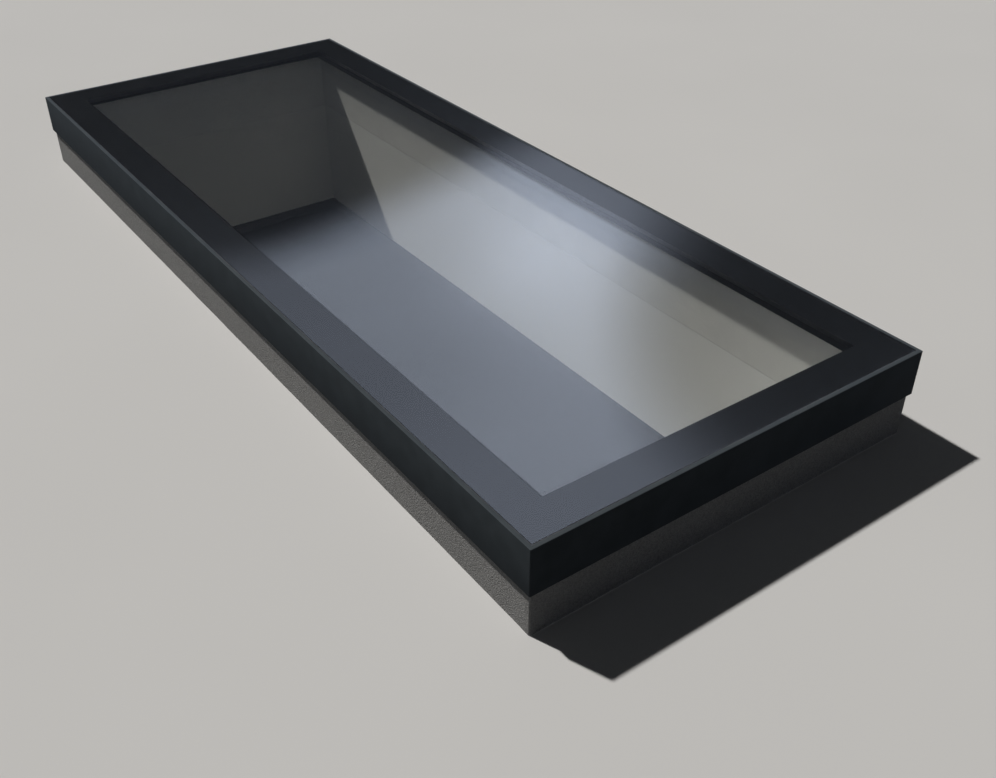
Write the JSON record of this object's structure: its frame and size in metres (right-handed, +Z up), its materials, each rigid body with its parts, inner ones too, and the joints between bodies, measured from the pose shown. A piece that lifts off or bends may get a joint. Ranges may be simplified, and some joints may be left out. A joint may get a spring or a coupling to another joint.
{
  "type": "roof skylight",
  "caption": "Fixed flat-roof skylight: a long double-glazed pane with a black border, bonded to a slim metal frame whose skirt drops over a felted timber kerb.",
  "frame": {"origin": "centre of the kerb's footprint, on the plane of the roof deck", "axes": "+X across the short side, +Y along the long side, +Z up through the glass"},
  "size_m": [1, 2.5, 0.209],
  "materials": {
    "frame_coating": "matt anthracite powder coat",
    "white_coating": "satin white powder coat",
    "white_plastic": "satin white extruded plastic",
    "glass": "clear float glass with a black fired border",
    "polyamide": "black glass-filled polyamide",
    "spacer": "black warm-edge spacer",
    "silicone": "black silicone, satin",
    "gasket_rubber": "black extruded rubber",
    "foam": "dark closed-cell foam",
    "timber": "planed softwood",
    "lining": "white painted board",
    "felt": "pale grey mineral-surfaced bitumen felt",
    "zinc_steel": "bright zinc plating",
    "mill_aluminium": "mill finish"
  },
  "bodies": {
    "root": {"kerb_rail_left": "timber", "kerb_rail_right": "timber", "kerb_rail_front": "timber", "kerb_rail_back": "timber", "lining_board_left": "lining", "lining_board_right": "lining", "lining_board_front": "lining", "lining_board_back": "lining", "felt_left": "felt", "felt_right": "felt", "felt_front": "felt", "felt_back": "felt", "frame_profile_left": "frame_coating", "frame_profile_right": "frame_coating", "frame_profile_front": "frame_coating", "frame_profile_back": "frame_coating", "inner_profile_left": "white_coating", "inner_profile_right": "white_coating", "inner_profile_front": "white_coating", "inner_profile_back": "white_coating", "thermal_break_left": "polyamide", "thermal_break_right": "polyamide", "thermal_break_front": "polyamide", "thermal_break_back": "polyamide", "spacer_bar_left": "spacer", "spacer_bar_right": "spacer", "spacer_bar_front": "spacer", "spacer_bar_back": "spacer", "cover_trim_left": "white_plastic", "cover_trim_right": "white_plastic", "cover_trim_front": "white_plastic", "cover_trim_back": "white_plastic", "corner_cleat_front_left": "mill_aluminium", "corner_cleat_front_right": "mill_aluminium", "corner_cleat_back_left": "mill_aluminium", "corner_cleat_back_right": "mill_aluminium", "kerb_corner_screws": "zinc_steel", "kerb_seal_outer": "foam", "kerb_seal_inner": "foam", "inner_cleats": "mill_aluminium", "bonding_tape": "foam", "structural_seal": "silicone", "inner_glazing_tape": "foam", "outer_pane": "glass", "edge_seal": "silicone", "spacer_corner_keys": "spacer", "inner_pane": "glass", "weather_seal": "silicone", "inner_gasket": "gasket_rubber", "frame_fixing_screws": "zinc_steel"}
  },
  "joints": []
}
